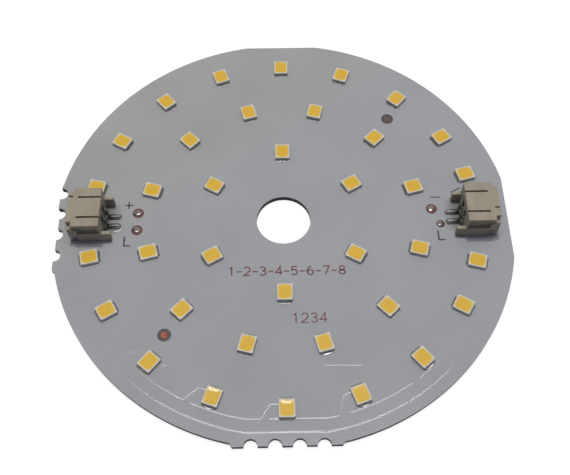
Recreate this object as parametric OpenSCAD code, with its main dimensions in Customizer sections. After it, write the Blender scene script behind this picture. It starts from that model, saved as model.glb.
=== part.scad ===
// Round led module: aluminium-backed board, 36 diodes in three rings, two side-entry headers.
// Millimetres, +Z up, origin on the axis of the middle hole at the back face of the board.

/* [Board] */
// Diameter of the round outline
board_d = 85; // [84.4:0.1:86]
// Width across the left and right flats
flat_x = 83.3; // [82.8:0.1:84.2]
// Width across the front and back flats
flat_y = 83.8; // [82.8:0.1:84.2]
// Diameter of the middle hole
hole_d = 10; // [6:0.5:11]
// Thickness of the aluminium plate
base_t = 1.06; // [0.8:0.02:2]
// Thickness of the insulation on the plate
insulation_t = 0.08; // [0.06:0.01:0.15]
// Thickness of the copper foil
copper_t = 0.035; // [0.03:0.005:0.07]
// Thickness of the white coat over the copper
mask_t = 0.025; // [0.02:0.005:0.04]

/* [Tab notches] */
// Diameter of the half-round notches left by the panel tabs
notch_d = 2.3; // [1.6:0.1:2.8]
// Spacing of the notches in the front flat
front_notch_pitch = 4; // [3.4:0.1:4.6]
// Spacing of the notches in the left flat
left_notch_pitch = 4.4; // [3.4:0.1:4.6]
// Shift of the left row towards the front
left_notch_shift = 0.2; // [0:0.1:1]
// Half length of the broken stubs of the tabs
stub_half = 9; // [8.6:0.1:9.4]

/* [Diode rings] */
// Radius of the outer ring of 18 diodes
outer_r = 36; // [35.8:0.1:36.2]
// Radius of the middle ring of 12 diodes
middle_r = 25.5; // [25.3:0.1:25.7]
// Radius of the inner ring of 6 diodes
inner_r = 15; // [14:0.1:15.6]
// Angle from the axis to the outer diodes beside the left header
left_gap_a = 12; // [11.6:0.2:13]
// Angle from the axis to the outer diodes beside the right header
right_gap_a = 15; // [14:0.5:16]

/* [Diode package] */
// Length of the moulded body, along the radius
led_l = 3.2; // [3.1:0.05:3.3]
// Width of the moulded body
led_w = 2.8; // [2.7:0.05:2.9]
// Height of the package over its leads' undersides
led_h = 0.75; // [0.65:0.05:1]
// Width of the white rim round the filling
led_rim = 0.23; // [0.2:0.01:0.3]
// Sideways slope of the cup from rim to floor
cup_slope = 0.22; // [0.1:0.02:0.24]
// Thickness of the leads
lead_t = 0.2; // [0.15:0.01:0.25]
// Width of the leads
lead_w = 2.1; // [1.9:0.05:2.2]
// Thickness of the solder under the leads
solder_t = 0.05; // [0.04:0.01:0.08]
// Height of the chip
die_h = 0.15; // [0.1:0.01:0.2]

/* [Headers] */
// Distance from the axis to the mouth of a header
header_x = 38.9; // [38.7:0.1:39.1]
// Offset of the headers towards the back
header_y = 0.1; // [0:0.05:0.15]
// Spacing of the two contacts
contact_pitch = 2; // [1.9:0.05:2.1]
// Width of the housing
header_w = 8; // [7.8:0.1:8.2]
// Height of the housing
header_h = 5.5; // [5.3:0.1:6]
// Length of the housing from rear wall to mouth
header_l = 5.9; // [5.9:0.1:6.1]
// Length of the side wings behind the rear wall
wing_l = 1.6; // [1.2:0.1:1.8]
// Height of the side wings
wing_h = 2.5; // [2.3:0.1:2.7]
// Thickness of the side wings
wing_t = 0.65; // [0.5:0.05:0.8]
// Width of the mouth
mouth_w = 5.9; // [5.7:0.1:6]
// Thickness of the floor and the top of the housing
header_wall = 0.6; // [0.5:0.05:0.7]
// Length of the two slits in the top
slit_l = 4.1; // [3:0.1:4.3]
// Width of the slits
slit_w = 0.35; // [0.25:0.05:0.5]
// Distance of the slits from the middle
slit_y = 2.1; // [1.9:0.05:2.3]
// Thickness of a contact
contact_t = 0.5; // [0.4:0.05:0.55]

/* [Circuit] */
// Distance from the outline to the copper
copper_inset = 2.1; // [1.8:0.1:2.4]
// Distance from the outline to the gap inside the edge bus
bus_inset = 4.15; // [4.1:0.05:4.2]
// Width of the etched gaps
gap_w = 0.5; // [0.4:0.02:0.6]

/* [Hidden] */
$fn = 64;
eps = 0.01;
copper_z = base_t + insulation_t;
copper_top = copper_z + copper_t;
board_top = copper_top + mask_t;

outer_a = [
    90, 70, 50, 30, right_gap_a, -right_gap_a, -30, -50, -70,
    -90, -110, -130, -150, left_gap_a - 180, 180 - left_gap_a, 150, 130, 110
];
middle_a = [for (k = [0:11]) 15 + 30 * k];
inner_a = [for (k = [0:5]) 30 + 60 * k];

// The small lead ends at the plastic bar between the leads, the large one starts behind it
bar_u = -0.7;
bar_w = 0.5;
lead_out = 0.1;
pad_out = 0.36;
fillet_h = 0.2;

zone_1 = 30.4;
zone_2 = 20.2;
hole_inset = 2;

pad_r = 1.05;
small_pad_r = 0.8;
pad_left_plus = [-27.05, 1.86];
pad_left_line = [-27.06, -1.78];
pad_right_minus = [27.68, 1.89];
pad_right_line = [29.05, -1.35];
target_pos = [[21, 22.9], [-20.9, -22.6]];
target_r = 1.2;
target_dot_r = 0.55;

rear_x = header_x - header_l;
pin_z = 2.7;
pin_l = 5;
rear_wall = 1.3;
tail_w = 0.6;
tail_turn = 84;
tail_r = 0.4;
tail_start = 0.05;
tail_end = 2.6;
foot_u = 1.2;
foot_v = 0.66;
tab_t = 0.3;
tab_l = 1.5;
tab_h = 2.2;
tab_x = 4.35;
tab_foot = 0.85;
tab_joint = 0.12;
notch_l = 0.95;

function polar(r, a) = [r * cos(a), r * sin(a)];

// A point of a diode's own plane: u out along the radius, v across it
function spot(r, a, u, v) = [
    (r + u) * cos(a) - v * sin(a),
    (r + u) * sin(a) + v * cos(a)
];

// Rectangle of half sizes u and v with its corners cut by c
function octagon(u, v, c) = [
    [u, v - c], [u - c, v], [c - u, v], [-u, v - c],
    [-u, c - v], [c - u, -v], [u - c, -v], [u, c - v]
];

function heading(p, q) = (q - p) / norm(q - p);
function left_of(d) = [-d[1], d[0]];

// One side of a ribbon of width w along the points p, mitred at its corners
function side(p, w) = [
    for (i = [0:len(p) - 1])
        let (
            before = left_of(heading(p[max(i - 1, 0)], p[max(i, 1)])),
            after = left_of(heading(p[min(i, len(p) - 2)], p[min(i + 1, len(p) - 1)])),
            m = before + after
        )
        p[i] + m * (w / 2) / (m * before)
];

function ribbon(p, w) = let (s = side(p, -w)) concat(
    side(p, w),
    [for (i = [len(p) - 1:-1:0]) s[i]]
);

// Etched gap of one diode: from the ring outside it, under it between its leads, to the ring inside
function diode_gap(r, a, u, lead, from_r, from_a, to_r, to_a) = [
    polar(from_r, a - from_a),
    spot(r, a, u, -led_w / 2 - lead),
    spot(r, a, u, led_w / 2 + 0.5),
    polar(to_r, a + to_a)
];

bus_r = board_d / 2 - bus_inset;

outer_gaps = [
    for (a = outer_a)
        diode_gap(
            outer_r, a, bar_u, a == left_gap_a - 180 ? 0.3 : 1.3,
            bus_r + gap_w / 4, a == left_gap_a - 180 ? 3.4 : a == right_gap_a ? 5.6 : 6.6,
            zone_1 - gap_w / 4, a == 180 - left_gap_a ? 1.5 : 3.8
        )
];

middle_gaps = [
    for (a = middle_a)
        a == 15
        ? [
            [24.7, 3.4],
            spot(middle_r, a, bar_u, -led_w / 2),
            spot(middle_r, a, bar_u, led_w / 2 + 0.5),
            polar(zone_2 - gap_w / 4, a + 8)
        ]
        : a == 195
        ? [
            polar(zone_1 + gap_w / 4, 191.5),
            spot(middle_r, a, bar_u, -led_w / 2 - 0.3),
            spot(middle_r, a, bar_u, led_w / 2 + 0.5),
            polar(zone_2 - gap_w / 4, a + 8)
        ]
        : diode_gap(middle_r, a, bar_u, 1.3, zone_1 + gap_w / 4, 9, zone_2 - gap_w / 4, 8)
];

inner_gaps = [
    for (a = inner_a)
        diode_gap(
            inner_r, a, -bar_u, 1.3,
            zone_2 + gap_w / 4, 13,
            hole_d / 2 + hole_inset - 0.5, 18
        )
];

edge_x = board_d / 2;

// Gaps round the terminals: the line net at the left, plus from minus, minus from the inner string,
// both nets at the right, minus from line, and the way round the right terminals
terminal_gaps = [
    [[-edge_x, 0.04], [-25.3, 0.04], [-25.3, -3.7], [-36.5, -4.5], [0.1 - bus_r, -4.5]],
    [[-edge_x, 2.5], [-29.6, 2.5], [-28.3, 3.4], [-26.3, 3.4], [-25.1, 2.2], polar(zone_2, 181.6)],
    [polar(zone_1, 169.5), [-27.2, 4.85], [-24.3, 3.6], [-20.2, 1], [-12, 1], [-hole_d / 2, 0.6]],
    [[bus_r - 0.1, 4.6], [36, 4.6], [28.2, 3.6], [26.1, 3.2], [26.1, -2.7], [36, -4.5], [bus_r - 0.1, -4.5]],
    [[26, 0.1], [edge_x, 0.1]],
    [
        polar(zone_1, 13.2), [27.6, 5.2], [26.2, 4.3], [24.7, 3.6], [23.6, 2.2],
        [23.6, -2.2], [24.7, -3.6], [26.2, -4.3], [27.6, -5.2], polar(zone_1, -11.2)
    ]
];

module outline(inset = 0) {
    intersection() {
        circle(d = board_d - 2 * inset);
        square([flat_x - 2 * inset, flat_y - 2 * inset], center = true);
    }
}

front_notches = [for (k = [-1.5:1:1.5]) k * front_notch_pitch];
left_notches = [for (k = [-1.5:1:1.5]) k * left_notch_pitch - left_notch_shift];

// Broken edges of the tab stubs, as points along the flat and out past it
front_break = [
    [-stub_half - 0.3, -4], [stub_half + 0.4, -4], [stub_half + 0.4, -0.4],
    [stub_half, 0.2], [0.1 - stub_half, 0.05], [-stub_half - 0.3, -0.4]
];
left_break = [
    [-stub_half - 1.2, -4], [left_notches[3] + 2.2, -4], [left_notches[3] + 2.2, -0.02],
    [left_notches[3] + 1.3, 0.25], [left_notches[3], 0.35], [left_notches[2], 0.45], [left_notches[2], 0.1],
    [left_notches[1], -0.1], [left_notches[1], 0.1], [left_notches[0], 0.02], [left_notches[0], 0.22],
    [-stub_half - 0.75, 0.15], [-stub_half - 1.2, -0.45]
];

module board_shape() {
    difference() {
        union() {
            outline();
            translate([0, -flat_y / 2]) rotate(180) polygon(front_break);
            translate([-flat_x / 2, 0]) rotate(90) polygon(left_break);
        }
        circle(d = hole_d);
        for (x = front_notches) translate([x, -flat_y / 2 - 0.08]) circle(d = notch_d);
        for (y = left_notches) translate([-flat_x / 2 - 0.1, y]) circle(d = notch_d);
    }
}

// Ring-shaped gap of width w, open for the angles from a to b
module ring_gap(r, w, a, b) {
    difference() {
        circle(r = r + w / 2);
        circle(r = r - w / 2);
        polygon([[0, 0], polar(60, a), polar(60, (a + b) / 2), polar(60, b)]);
    }
}

module gap_lines(w) {
    for (p = concat(outer_gaps, middle_gaps, inner_gaps, terminal_gaps)) polygon(ribbon(p, w));
    difference() {
        outline(bus_inset - w / 2);
        outline(bus_inset + w / 2);
        translate([-edge_x, -4.5]) square([6, 11]);
        translate([edge_x - 6, -4.5]) square([6, 9.1]);
    }
    difference() {
        ring_gap(zone_1, w, 169.5, 191.5);
        polygon([[0, 0], polar(60, -11.2), [60, 0], polar(60, 13.2)]);
    }
    ring_gap(zone_2, w, 173, 181.6);
}

module copper_shape() {
    difference() {
        outline(copper_inset);
        circle(r = hole_d / 2 + hole_inset);
        gap_lines(gap_w);
        for (p = target_pos) translate(p) circle(r = target_r);
    }
    for (p = target_pos) translate(p) circle(r = target_dot_r);
}

module on_ring(r, angles) {
    for (a = angles) rotate(a) translate([r, 0]) children();
}

module lead_openings(turn) {
    rotate(turn) {
        translate([-led_l / 2 - pad_out, -lead_w / 2 - 0.05])
            square([pad_out + led_l / 2 + bar_u - bar_w / 2, lead_w + 0.1]);
        translate([bar_u + bar_w / 2, -lead_w / 2 - 0.05])
            square([led_l / 2 - bar_u - bar_w / 2 + pad_out, lead_w + 0.1]);
    }
}

module at_header(right) {
    rotate(right ? 0 : 180) translate([rear_x, right ? header_y : -header_y]) children();
}

module header_openings() {
    for (s = [-1, 1]) {
        translate([foot_u - tail_end - 0.35, s * contact_pitch / 2]) polygon(octagon(foot_u, foot_v, 0.35));
        translate([tab_x - 0.1, s > 0 ? header_w / 2 - tab_foot - tab_t : -header_w / 2 - tab_joint])
            square([tab_l + 0.2, tab_foot + tab_t + tab_joint]);
    }
}

module mask_openings() {
    on_ring(outer_r, outer_a) lead_openings(0);
    on_ring(middle_r, middle_a) lead_openings(0);
    on_ring(inner_r, inner_a) lead_openings(180);
    at_header(true) header_openings();
    at_header(false) header_openings();
    for (p = [pad_left_plus, pad_left_line, pad_right_minus]) translate(p) circle(r = pad_r);
    translate(pad_right_line) circle(r = small_pad_r);
    for (p = target_pos) translate(p) circle(r = target_r);
}

module aluminium_base() {
    color("silver") linear_extrude(base_t) board_shape();
}

module insulation_layer() {
    color("dimgray") translate([0, 0, base_t]) linear_extrude(insulation_t) board_shape();
}

module copper_circuit() {
    color("peru") translate([0, 0, copper_z]) linear_extrude(copper_t) copper_shape();
}

// The coat fills the etched gaps, lies level over the copper and steps down to a thinner border
module white_mask() {
    color("white") {
        translate([0, 0, copper_z]) linear_extrude(copper_t) difference() {
            board_shape();
            copper_shape();
            for (p = target_pos) translate(p) circle(r = target_r);
        }
        translate([0, 0, copper_top]) linear_extrude(mask_t) difference() {
            outline(copper_inset - 0.1);
            circle(r = hole_d / 2 + hole_inset - 0.1);
            mask_openings();
        }
    }
}

// Frustum with cut corners, from half sizes at the floor to half sizes at the rim
module cup(z0, z1, u0, v0, u1, v1, c) {
    function loop(u, v, z) = [for (p = octagon(u, v, c)) [p[0], p[1], z]];
    polyhedron(
        concat(loop(u0, v0, z0), loop(u1, v1, z1)),
        concat(
            [[0, 1, 2, 3, 4, 5, 6, 7], [15, 14, 13, 12, 11, 10, 9, 8]],
            [for (i = [0:7]) [i, i + 8, (i + 1) % 8 + 8, (i + 1) % 8]]
        )
    );
}

lead_z = solder_t;
floor_z = lead_z + lead_t;
rim_z = lead_z + led_h;
rim_u = led_l / 2 - led_rim;
rim_v = led_w / 2 - led_rim;

module cathode_lead() {
    translate([bar_u + bar_w / 2, -lead_w / 2, lead_z])
        cube([led_l / 2 + lead_out - bar_u - bar_w / 2, lead_w, lead_t]);
}

module anode_lead() {
    translate([-led_l / 2 - lead_out, -lead_w / 2, lead_z])
        cube([led_l / 2 + lead_out + bar_u - bar_w / 2, lead_w, lead_t]);
}

module die() {
    translate([bar_u - bar_w / 2 - 0.1, -0.25, floor_z]) cube([1, 0.5, die_h]);
}

module cup_space(top) {
    cup(floor_z, top, rim_u - cup_slope, rim_v - cup_slope, rim_u, rim_v, 0.35);
}

module phosphor() {
    difference() {
        cup_space(rim_z);
        die();
    }
}

module housing() {
    difference() {
        translate([-led_l / 2, -led_w / 2, lead_z]) cube([led_l, led_w, led_h]);
        cup_space(rim_z);
        cathode_lead();
        anode_lead();
        translate([led_l / 2, led_w / 2, lead_z - eps]) rotate(45)
            translate([-0.18, -1, 0]) cube([1, 2, led_h + 2 * eps]);
    }
}

// Solder under a lead and up its end, s is the end's direction
module lead_solder(s, from) {
    end = led_l / 2 + lead_out;
    translate([0, lead_w / 2, 0]) rotate([90, 0, 0]) linear_extrude(lead_w) polygon([
        [from, 0], [s * (end + 0.22), 0], [s * end, fillet_h], [s * end, lead_z], [from, lead_z]
    ]);
}

module diode_solder() {
    lead_solder(1, bar_u + bar_w / 2);
    lead_solder(-1, bar_u - bar_w / 2);
}

module diodes(r, angles, turn) {
    for (a = angles) rotate(a) translate([r, 0, copper_top]) rotate(turn) children();
}

module led_housings_outer() {
    color("white") diodes(outer_r, outer_a, 0) housing();
}

module led_housings_middle() {
    color("white") diodes(middle_r, middle_a, 0) housing();
}

module led_housings_inner() {
    color("white") diodes(inner_r, inner_a, 180) housing();
}

module led_phosphor_outer() {
    color("gold") diodes(outer_r, outer_a, 0) phosphor();
}

module led_phosphor_middle() {
    color("gold") diodes(middle_r, middle_a, 0) phosphor();
}

module led_phosphor_inner() {
    color("gold") diodes(inner_r, inner_a, 180) phosphor();
}

module led_dies_outer() {
    color("skyblue") diodes(outer_r, outer_a, 0) die();
}

module led_dies_middle() {
    color("skyblue") diodes(middle_r, middle_a, 0) die();
}

module led_dies_inner() {
    color("skyblue") diodes(inner_r, inner_a, 180) die();
}

module led_cathodes_outer() {
    color("lightgray") diodes(outer_r, outer_a, 0) cathode_lead();
}

module led_cathodes_middle() {
    color("lightgray") diodes(middle_r, middle_a, 0) cathode_lead();
}

module led_cathodes_inner() {
    color("lightgray") diodes(inner_r, inner_a, 180) cathode_lead();
}

module led_anodes_outer() {
    color("lightgray") diodes(outer_r, outer_a, 0) anode_lead();
}

module led_anodes_middle() {
    color("lightgray") diodes(middle_r, middle_a, 0) anode_lead();
}

module led_anodes_inner() {
    color("lightgray") diodes(inner_r, inner_a, 180) anode_lead();
}

module led_solder_outer() {
    color("gainsboro") diodes(outer_r, outer_a, 0) diode_solder();
}

module led_solder_middle() {
    color("gainsboro") diodes(middle_r, middle_a, 0) diode_solder();
}

module led_solder_inner() {
    color("gainsboro") diodes(inner_r, inner_a, 180) diode_solder();
}

module block(x0, x1, y0, y1, z0, z1) {
    translate([x0, y0, z0]) cube([x1 - x0, y1 - y0, z1 - z0]);
}

tail_drop = pin_z - contact_t / 2 - 2 * tail_r * (1 - cos(tail_turn));
foot_x = -tail_start - 2 * tail_r * sin(tail_turn) - tail_drop / tan(tail_turn);

// Points along an arc of the profile's plane
function arc(c, r, a, b) = [for (i = [0:8]) c + polar(r, a + (b - a) * i / 8)];

// Middle line of a contact seen from the side: pin, bend, slope, bend and foot
contact_line = concat(
    [[pin_l, pin_z]],
    arc([-tail_start, pin_z - tail_r], tail_r, 90, 90 + tail_turn),
    arc([foot_x, contact_t / 2 + tail_r], tail_r, 270 + tail_turn, 270),
    [[-tail_end, contact_t / 2]]
);

module contact() {
    translate([0, tail_w / 2, 0]) rotate([90, 0, 0]) linear_extrude(tail_w)
        polygon(ribbon(contact_line, contact_t));
}

module tab(s) {
    block(
        tab_x, tab_x + tab_l,
        s > 0 ? header_w / 2 - tab_t : -header_w / 2, s > 0 ? header_w / 2 : tab_t - header_w / 2,
        0, tab_h
    );
    block(
        tab_x, tab_x + tab_l,
        s > 0 ? header_w / 2 - tab_t - tab_foot : tab_t - header_w / 2,
        s > 0 ? header_w / 2 - tab_t : tab_t + tab_foot - header_w / 2,
        0, tab_t
    );
}

// Moulded housing: shroud, wings, slits, cut corners, side and rear pockets
module header_housing(notch_y) {
    half = header_w / 2;
    difference() {
        union() {
            block(0, header_l, -half, half, 0, header_h);
            block(-wing_l, 1, half - wing_t, half, 0, wing_h);
            block(-wing_l, 1, -half, wing_t - half, 0, wing_h);
        }
        block(rear_wall, header_l + 1, -mouth_w / 2, mouth_w / 2, header_wall, header_h - header_wall);
        for (s = [-1, 1]) {
            translate([-1, s * slit_y - slit_w / 2, header_h - header_wall - 0.3])
                cube([slit_l + 1, slit_w, 2]);
            translate([header_l - notch_l, s * (half - 0.475) - 0.475, header_h - 1.2])
                cube([2, 0.95, 2]);
            translate([0.35, s * half - 0.65, wing_h]) cube([3.9, 1.3, 2.1]);
            translate([4, s * half - 0.3, 3.9]) cube([1.3, 0.6, 0.7]);
            translate([-0.5, s * contact_pitch / 2 - 0.6, 1.5]) cube([1, 1.2, 2.3]);
        }
        translate([header_l - 0.9, notch_y - 0.2, header_h - header_wall - 0.3]) cube([2, 0.4, 2]);
        translate([-0.4, -half + 1.3, -1]) cube([0.8, header_w - 2.6, 1.8]);
        for (s = [-1, 1]) {
            translate([0, s * contact_pitch / 2, 0]) contact();
            tab(s);
        }
    }
}

// Mound of solder over a foot, filling the opening of its pad
module contact_solder() {
    difference() {
        translate([foot_u - tail_end - 0.35, 0, 0])
            cup(-mask_t, 0.57, foot_u - 0.02, foot_v - 0.02, foot_u - 0.25, foot_v - 0.26, 0.34);
        contact();
    }
}

module tab_solder(s) {
    translate([tab_x, 0, 0]) rotate([90, 0, 90]) linear_extrude(tab_l) polygon([
        [s * (header_w / 2 - tab_t - tab_foot), -mask_t], [s * (header_w / 2 + tab_joint), -mask_t],
        [s * (header_w / 2 + 0.1), 0], [s * header_w / 2, 0.5], [s * header_w / 2, 0],
        [s * (header_w / 2 - tab_t - tab_foot), 0]
    ]);
}

module header_joints() {
    for (s = [-1, 1]) {
        translate([0, s * contact_pitch / 2, 0]) contact_solder();
        tab_solder(s);
    }
}

module on_header(right) {
    rotate(right ? 0 : 180) translate([rear_x, right ? header_y : -header_y, board_top]) children();
}

module left_header_housing() {
    color("tan") on_header(false) header_housing(-2.25);
}

module right_header_housing() {
    color("tan") on_header(true) header_housing(-1.35);
}

module left_header_contact_plus() {
    color("silver") on_header(false) translate([0, -contact_pitch / 2, 0]) contact();
}

module left_header_contact_line() {
    color("silver") on_header(false) translate([0, contact_pitch / 2, 0]) contact();
}

module right_header_contact_minus() {
    color("silver") on_header(true) translate([0, contact_pitch / 2, 0]) contact();
}

module right_header_contact_line() {
    color("silver") on_header(true) translate([0, -contact_pitch / 2, 0]) contact();
}

module left_header_tab_front() {
    color("silver") on_header(false) tab(1);
}

module left_header_tab_back() {
    color("silver") on_header(false) tab(-1);
}

module right_header_tab_front() {
    color("silver") on_header(true) tab(-1);
}

module right_header_tab_back() {
    color("silver") on_header(true) tab(1);
}

module left_header_solder() {
    color("gainsboro") on_header(false) header_joints();
}

module right_header_solder() {
    color("gainsboro") on_header(true) header_joints();
}

// Round cap of solder of radius r and height h on a wire pad
module pad_dome(r, h) {
    ball = (r * r + h * h) / (2 * h);
    translate([0, 0, copper_top]) intersection() {
        translate([0, 0, h - ball]) sphere(r = ball);
        cylinder(r = r + 1, h = h + 1);
    }
}

module left_pad_solder_plus() {
    color("gainsboro") translate(pad_left_plus) pad_dome(0.75, 0.2);
}

module left_pad_solder_line() {
    color("gainsboro") translate(pad_left_line) pad_dome(0.75, 0.2);
}

module right_pad_solder_minus() {
    color("gainsboro") translate(pad_right_minus) pad_dome(0.75, 0.2);
}

module right_pad_solder_line() {
    color("gainsboro") translate(pad_right_line) pad_dome(0.6, 0.2);
}

aluminium_base();
insulation_layer();
copper_circuit();
white_mask();
led_housings_outer();
led_housings_middle();
led_housings_inner();
led_phosphor_outer();
led_phosphor_middle();
led_phosphor_inner();
led_dies_outer();
led_dies_middle();
led_dies_inner();
led_cathodes_outer();
led_cathodes_middle();
led_cathodes_inner();
led_anodes_outer();
led_anodes_middle();
led_anodes_inner();
led_solder_outer();
led_solder_middle();
led_solder_inner();
left_header_housing();
right_header_housing();
left_header_contact_plus();
left_header_contact_line();
right_header_contact_minus();
right_header_contact_line();
left_header_tab_front();
left_header_tab_back();
right_header_tab_front();
right_header_tab_back();
left_header_solder();
right_header_solder();
left_pad_solder_plus();
left_pad_solder_line();
right_pad_solder_minus();
right_pad_solder_line();
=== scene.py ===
# Round led light engine, made up as the real one is: a punched aluminium plate with its insulation,
# etched copper and white coat, 36 diodes in three rings and two side-entry headers.
# Lengths are written in millimetres and go into the meshes in metres, +Z up. A place on the board is a
# complex number, x + 1j * y.

import bpy
import numpy as np
from mathutils import Matrix
from mathutils.geometry import delaunay_2d_cdt


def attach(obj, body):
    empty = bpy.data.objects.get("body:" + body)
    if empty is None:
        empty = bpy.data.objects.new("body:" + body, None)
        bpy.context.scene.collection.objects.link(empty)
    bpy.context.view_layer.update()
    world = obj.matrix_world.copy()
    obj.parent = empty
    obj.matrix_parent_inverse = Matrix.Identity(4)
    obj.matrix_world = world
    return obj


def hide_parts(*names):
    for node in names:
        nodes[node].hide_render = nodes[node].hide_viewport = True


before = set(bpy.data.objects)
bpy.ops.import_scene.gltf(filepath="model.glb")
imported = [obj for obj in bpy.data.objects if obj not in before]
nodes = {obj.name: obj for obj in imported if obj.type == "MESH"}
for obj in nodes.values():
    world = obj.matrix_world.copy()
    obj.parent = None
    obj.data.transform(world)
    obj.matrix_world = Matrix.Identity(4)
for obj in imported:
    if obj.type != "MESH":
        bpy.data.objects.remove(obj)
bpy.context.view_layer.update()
mm = 0.001

# The photograph's view: a steady look from the front, about 60 degrees above the board,
# with the far edge of the board a little smaller than the near one.
lens = bpy.data.cameras.new("view")
lens.lens, lens.sensor_width, lens.clip_start = 51.64, 36, 0.005
camera = bpy.data.objects.new("view", lens)
camera.location = np.array((-0.86, -76.62, 132.22)) * mm
camera.rotation_euler = np.radians((29.0812, 0.0662, -0.9596))
bpy.context.scene.collection.objects.link(camera)
bpy.context.scene.camera = camera
bpy.context.scene.view_settings.view_transform = "Standard"

# The plate is one sheet of aluminium, punched out of a panel: round with four flats, a middle hole and two
# stubs where the panel's tabs were drilled and snapped off. Its back is bare rolled metal, and its edge is
# dull where it was sheared, coloured dark grey partly as painted shade.
board_r, flat_x, flat_y, hole_r = 42.5, 41.65, 41.9, 5.0
plate_top, plate_worn = 1.06, 0.06
notch_r, front_pitch, left_pitch, left_shift = 1.15, 4.0, 4.4, -0.2
front_notch_out, left_notch_out = 0.08, 0.1
notch_row = np.arange(-1.5, 2)
notches = np.r_[
    front_pitch * notch_row - 1j * (flat_y + front_notch_out),
    -flat_x - left_notch_out + 1j * (left_pitch * notch_row + left_shift),
]
front_break = np.array((-9.4 - 41.5j, -9 - 42.1j, 8.9 - 41.95j, 9.3 - 41.5j))
left_break = np.array((
    -41.63 + 8.6j, -41.9 + 7.7j, -42 + 6.4j, -42.1 + 2j, -41.75 + 2j, -41.55 - 2.4j, -41.75 - 2.4j,
    -41.67 - 6.8j, -41.87 - 6.8j, -41.8 - 9.75j, -41.2 - 10.2j,
))


def to_line(angle, line):
    """Distance from the axis to a broken line: a ray crossed with each part of it, 0 where it meets none."""
    way, start, step = np.exp(1j * angle)[..., None], line[:-1], np.diff(line)
    slant = (way.conj() * step).imag
    reach = (start.conj() * step).imag / np.where(abs(slant) < 1e-9, 1e-9, slant)
    share = ((way * reach - start) * step.conj()).real / abs(step) ** 2
    return np.where((share >= 0) & (share <= 1) & (reach > 0), reach, 0).max(-1)


def outline_radius(angle, inset=0.0, whole=True):
    """Distance from the axis to the edge: the least of circle and flats, stubs added and notches cut."""
    flat = np.minimum(
        (flat_x - inset) / np.maximum(abs(np.cos(angle)), 1e-9),
        (flat_y - inset) / np.maximum(abs(np.sin(angle)), 1e-9),
    )
    radius = np.minimum(board_r - inset, flat)
    if whole:
        radius = np.maximum(radius, np.maximum(to_line(angle, front_break), to_line(angle, left_break)))
        off = angle[..., None] - np.angle(notches)
        along, across = abs(notches) * np.cos(off), abs(notches) * np.sin(off)
        hit = (abs(across) < notch_r) & (along > 0)
        near = along - np.sqrt(np.maximum(notch_r**2 - across**2, 0))
        radius = np.minimum(radius, np.where(hit, near, np.inf).min(-1))
    return radius


def outline_angles():
    """Angles for the edge: even steps, ends of flats and stubs, and steps along each notch's near side."""
    even = np.radians(np.arange(-180, 180, 0.5))
    corner_x, corner_y = np.arccos(flat_x / board_r), np.arcsin(flat_y / board_r)
    corners = np.r_[corner_x, corner_y, np.pi - corner_x, np.pi - corner_y]
    turn = np.radians(np.r_[-89.9, np.linspace(-84, 84, 15), 89.9])
    way = notches / abs(notches)
    arc = notches[:, None] - notch_r * way[:, None] * np.exp(1j * turn)
    past = notches[:, None] + way[:, None] * 1j * (notch_r + 1e-3) * np.array((-1, 1))
    ends = np.angle(np.r_[front_break, left_break])
    every = np.r_[even, corners, -corners, ends, np.angle(arc).ravel(), np.angle(past).ravel()]
    return np.unique(every.round(6))


def grid_faces(rows, columns, round_rows=False, round_columns=False):
    """Quads of a grid of points, row by row, joined at the ends of either direction where asked."""
    i, j = np.meshgrid(
        np.arange(rows if round_rows else rows - 1),
        np.arange(columns if round_columns else columns - 1),
        indexing="ij",
    )
    k, n = (i + 1) % rows, (j + 1) % columns
    quads = np.stack((i * columns + j, i * columns + n, k * columns + n, k * columns + j), -1)
    return quads.reshape(-1, 4)


def piece(name, points, faces, material, replaced, smooth=None, values=None, normals=None):
    """A mesh of millimetre points that rides on the board, has the given finish and stands for CAD nodes."""
    mesh = bpy.data.meshes.new(name)
    mesh.from_pydata((points * mm).tolist(), [], [list(map(int, face)) for face in faces])
    for key, value in (values or {}).items():
        carried = mesh.attributes.new(key, "FLOAT", "POINT")
        carried.data.foreach_set("value", np.ravel(value).astype(np.float32))
    if smooth is not None:
        mesh.shade_smooth()
        mesh.set_sharp_from_angle(angle=np.radians(smooth))
    if normals is not None:
        mesh.shade_smooth()
        mesh.normals_split_custom_set(normals.tolist())
    mesh.materials.append(material)
    made = bpy.data.objects.new(name, mesh)
    bpy.context.scene.collection.objects.link(made)
    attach(made, "root")
    if replaced:
        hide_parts(*replaced)


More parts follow.
